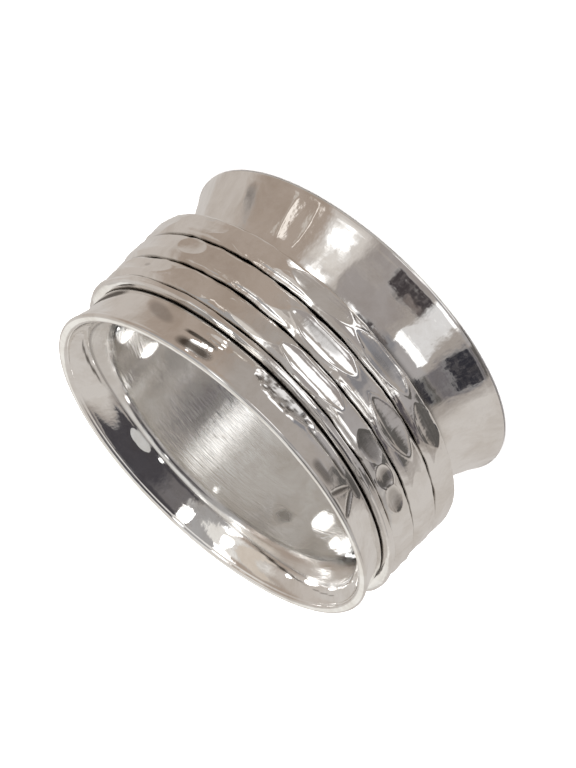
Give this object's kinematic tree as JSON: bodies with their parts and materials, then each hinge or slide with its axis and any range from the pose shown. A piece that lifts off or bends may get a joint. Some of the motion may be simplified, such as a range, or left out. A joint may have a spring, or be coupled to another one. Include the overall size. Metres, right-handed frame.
{
  "type": "spinner ring",
  "caption": "Wide silver finger ring with flared rims and a stack of loose hammered bands that spin around its waist.",
  "frame": {"origin": "centre of the plane of the foot rim, on the finger's axis", "axes": "+Z along the finger's axis, from the long flare at the foot to the short flare; the stack of spinners leans towards +X; the picture's viewer stands on the -Y side"},
  "size_m": [0.0225, 0.0225, 0.012],
  "materials": {
    "polished_silver": "polished",
    "hammered_silver": "polished"
  },
  "bodies": {
    "band": {"band": "polished_silver"},
    "low_spinner": {"low_spinner": "hammered_silver"},
    "middle_spinner": {"middle_spinner": "hammered_silver"},
    "high_spinner": {"high_spinner": "hammered_silver"},
    "narrow_spinner": {"narrow_spinner": "hammered_silver"}
  },
  "joints": [
    {"name": "low_spin", "type": "hinge", "parent": "band", "child": "low_spinner", "pos_m": [0, 0, 0.00489], "axis": [0.0384, 0, 0.9993], "continuous": true},
    {"name": "middle_spin", "type": "hinge", "parent": "band", "child": "middle_spinner", "pos_m": [0, 0, 0.00665], "axis": [0.0384, 0, 0.9993], "continuous": true},
    {"name": "high_spin", "type": "hinge", "parent": "band", "child": "high_spinner", "pos_m": [0, 0, 0.00838], "axis": [0.0384, 0, 0.9993], "continuous": true},
    {"name": "narrow_spin", "type": "hinge", "parent": "band", "child": "narrow_spinner", "pos_m": [0, 0, 0.00947], "axis": [0.0384, 0, 0.9993], "continuous": true}
  ]
}
